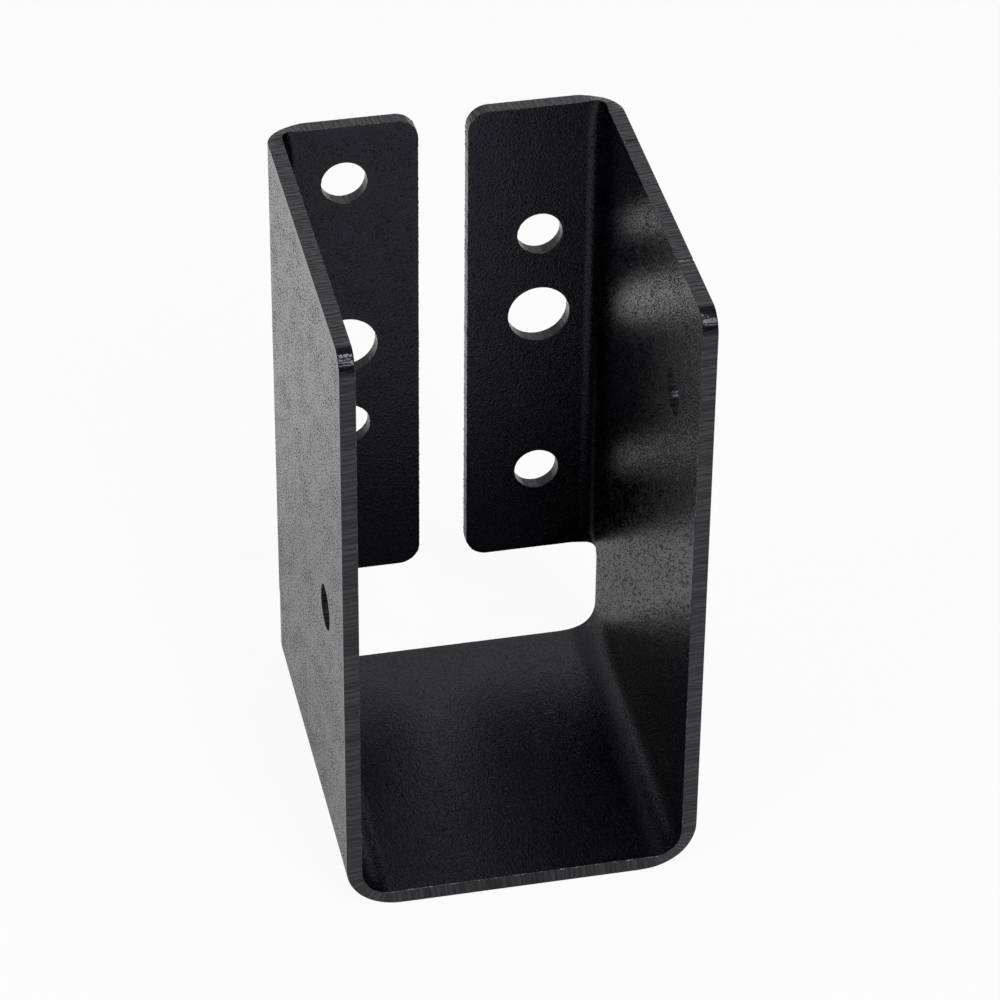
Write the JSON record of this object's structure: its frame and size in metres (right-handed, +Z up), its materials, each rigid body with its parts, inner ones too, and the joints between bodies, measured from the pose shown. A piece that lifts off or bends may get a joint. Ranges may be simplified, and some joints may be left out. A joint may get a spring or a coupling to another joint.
{
  "type": "concealed flange joist hanger",
  "caption": "Folded steel U bracket with a flat seat, tall side plates and inward back flanges with mounting holes; it hangs a timber beam end from a wall or header.",
  "frame": {"origin": "under the middle of the bracket, on the plane of the seat's underside", "axes": "+Z up along the side plates, +Y towards the mounting face of the flanges, -Y the open front, X across the seat"},
  "size_m": [0.0992, 0.116, 0.1842],
  "materials": {
    "coated_steel": "black fine-texture powder coat, satin"
  },
  "bodies": {
    "root": {"u_bracket": "coated_steel"}
  },
  "joints": []
}
